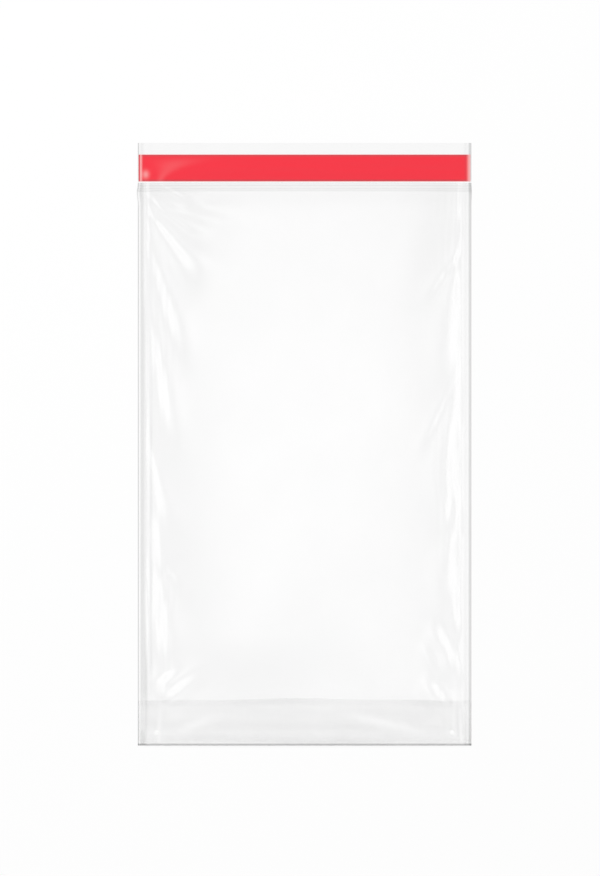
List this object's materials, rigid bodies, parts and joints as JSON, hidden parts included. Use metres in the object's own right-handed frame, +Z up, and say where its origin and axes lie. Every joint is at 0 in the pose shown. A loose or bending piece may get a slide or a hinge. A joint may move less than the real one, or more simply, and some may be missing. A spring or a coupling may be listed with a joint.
{
  "type": "self-seal film bag",
  "caption": "Clear flat film bag with a bottom gusset, welded sides and an open mouth, and a sealing flap whose glue strip is covered by a red release liner.",
  "frame": {"origin": "middle of the back panel and flap, on their underside, where the bag lies on the floor", "axes": "+X across the bag to the right as the front panel is seen, +Y along the bag from the bottom fold to the flap, +Z up through the front panel"},
  "size_m": [0.1513, 0.2726, 0.0068],
  "materials": {
    "clear_film": "polished",
    "clear_glue": "satin",
    "red_liner": "satin"
  },
  "bodies": {
    "root": {"bag_film": "clear_film", "adhesive_strip": "clear_glue", "release_liner": "red_liner"}
  },
  "joints": []
}
